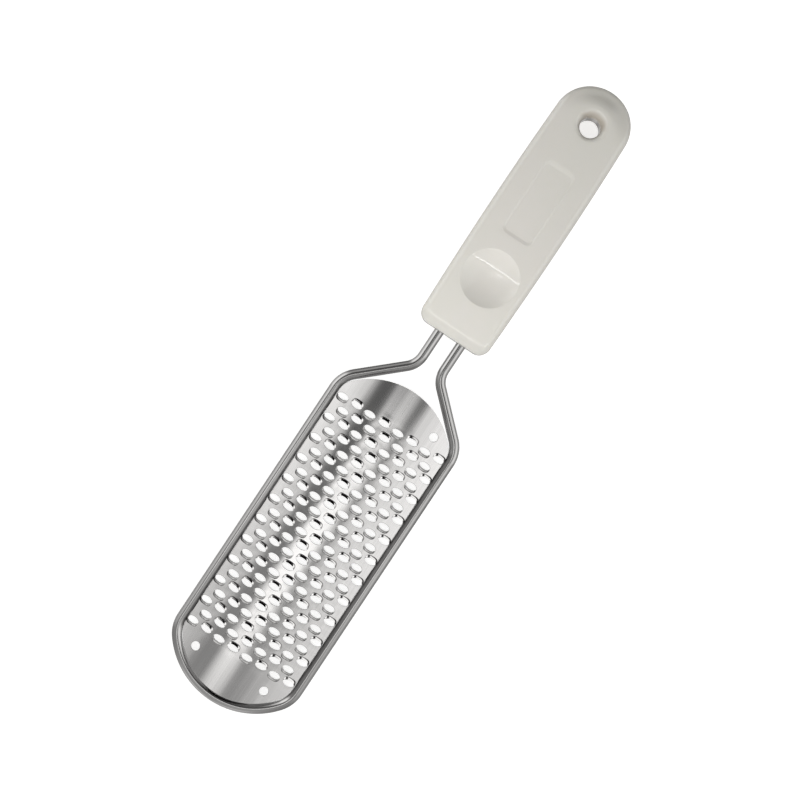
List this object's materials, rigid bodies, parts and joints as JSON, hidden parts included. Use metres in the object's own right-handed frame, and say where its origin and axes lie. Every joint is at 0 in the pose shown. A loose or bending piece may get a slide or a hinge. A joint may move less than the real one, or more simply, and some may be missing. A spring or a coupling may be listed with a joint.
{
  "type": "foot file",
  "caption": "Hand rasp for hard skin: arched steel blade pierced with raised oval teeth, set in a bent round-wire frame whose legs are moulded into a flat plastic handle with a hanging hole.",
  "frame": {"origin": "middle of the footprint, at the height of the handle's flat back", "axes": "+Y from the rasp's rounded tip towards the hanging end of the handle, +Z out of the cutting face, +X to the right seen from the cutting side with the handle up"},
  "size_m": [0.054, 0.265, 0.0125],
  "materials": {
    "frame_wire": "drawn stainless rod, satin, fine lengthwise grain",
    "blade_sheet": "rolled stainless sheet brushed along its length",
    "weld_metal": "as welded, slightly heat tinted",
    "handle_plastic": "off-white injection moulding, soft gloss"
  },
  "bodies": {
    "root": {"wire_frame": "frame_wire", "grater_blade": "blade_sheet", "blade_welds": "weld_metal", "handle": "handle_plastic"}
  },
  "joints": []
}
